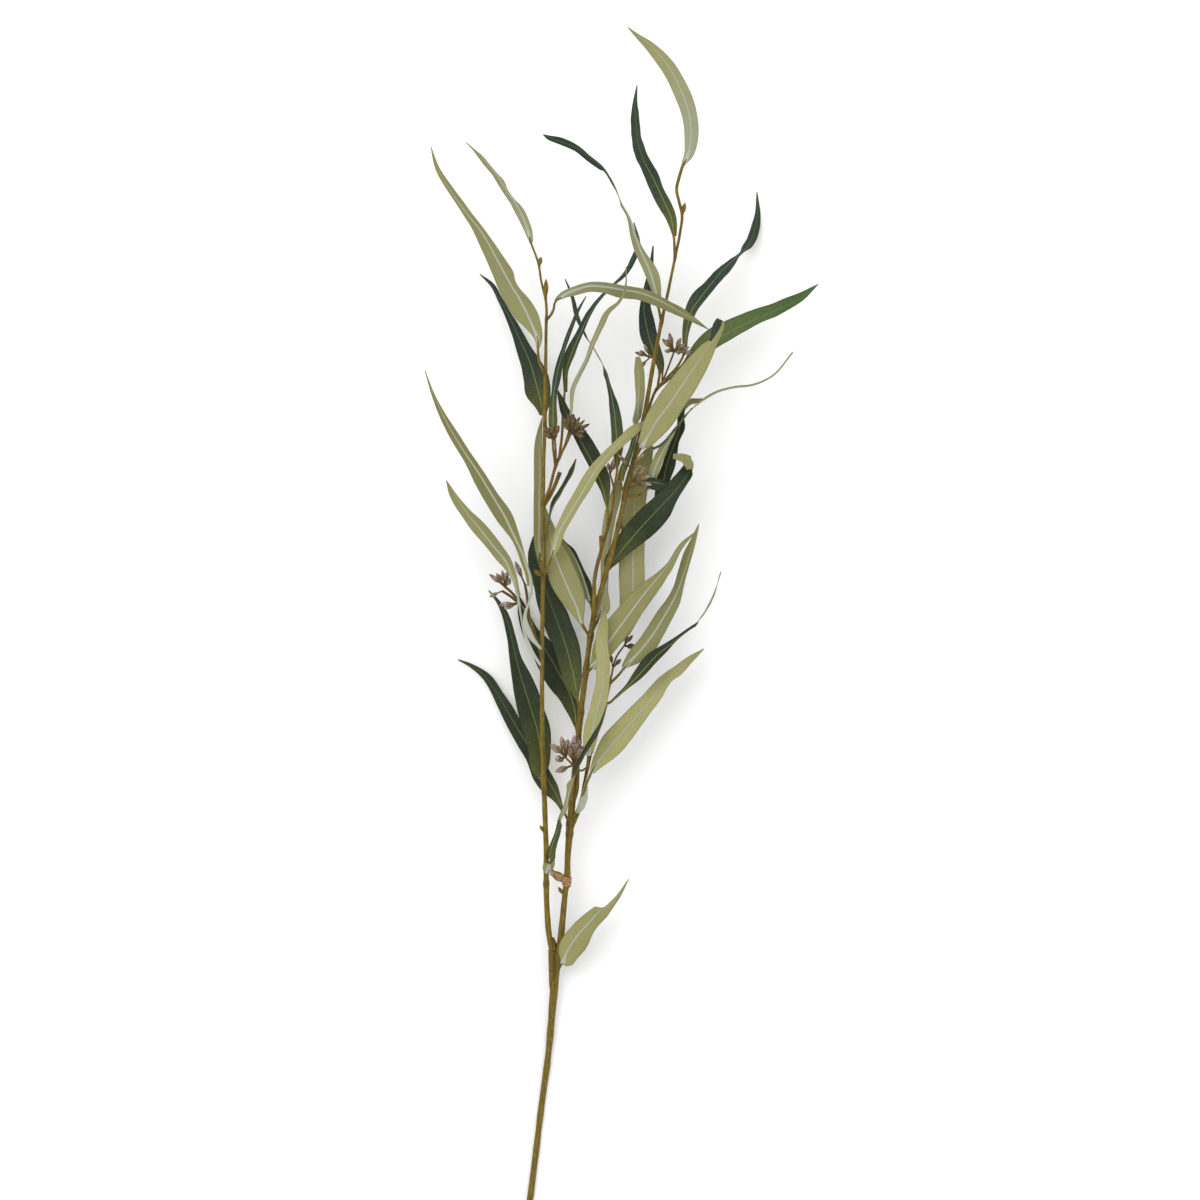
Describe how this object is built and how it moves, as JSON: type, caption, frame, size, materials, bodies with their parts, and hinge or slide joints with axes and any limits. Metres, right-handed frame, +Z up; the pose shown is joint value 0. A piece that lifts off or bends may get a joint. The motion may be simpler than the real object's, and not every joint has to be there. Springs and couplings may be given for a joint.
{
  "type": "eucalyptus branch",
  "caption": "Long forked spray of narrow willow-leaf eucalyptus, with fans of pointed buds on thin stalks and a plain cut stem, laid down to rest on its stem and two leaves",
  "frame": {"origin": "the middle of the object's box in plan, at the height of the surface that it lies on", "axes": "+Z is up, away from the surface; +Y runs along the spray from the cut stem to the leaf tips; +X is to the right as seen from above"},
  "size_m": [0.3168, 0.9626, 0.0946],
  "materials": {
    "stem": "ochre-olive coating on wire, satin, with pale flecks and darker nodes",
    "buds": "moulded, dusty mauve with purple-brown tips on olive and red-brown stalks",
    "leaf": "printed cloth, dark blue-green with a thin pale midrib on top, sage-olive below with a whitish rib",
    "tie": "tan mottled strip"
  },
  "bodies": {
    "root": {"stem_main": "stem", "stem_left": "stem", "twig_middle": "stem", "twig_low": "stem", "cluster_a": "buds", "cluster_c": "buds", "cluster_d": "buds", "cluster_e": "buds", "cluster_f": "buds", "tie": "tie", "leaf_01": "leaf", "leaf_02": "leaf", "leaf_03": "leaf", "leaf_04": "leaf", "leaf_05": "leaf", "leaf_06": "leaf", "leaf_07": "leaf", "leaf_08": "leaf", "leaf_09": "leaf", "leaf_10": "leaf", "leaf_11": "leaf", "leaf_12": "leaf", "leaf_13": "leaf", "leaf_14": "leaf", "leaf_15": "leaf", "leaf_16": "leaf", "leaf_17": "leaf", "leaf_18": "leaf", "leaf_19": "leaf", "leaf_20": "leaf", "leaf_21": "leaf", "leaf_22": "leaf", "leaf_23": "leaf", "leaf_24": "leaf", "leaf_25": "leaf", "leaf_26": "leaf", "leaf_27": "leaf", "leaf_28": "leaf", "leaf_29": "leaf", "leaf_30": "leaf", "leaf_31": "leaf", "leaf_32": "leaf", "leaf_33": "leaf", "leaf_34": "leaf", "leaf_35": "leaf", "leaf_36": "leaf", "leaf_37": "leaf", "leaf_38": "leaf", "leaf_39": "leaf", "leaf_40": "leaf", "leaf_43": "leaf"}
  },
  "joints": []
}
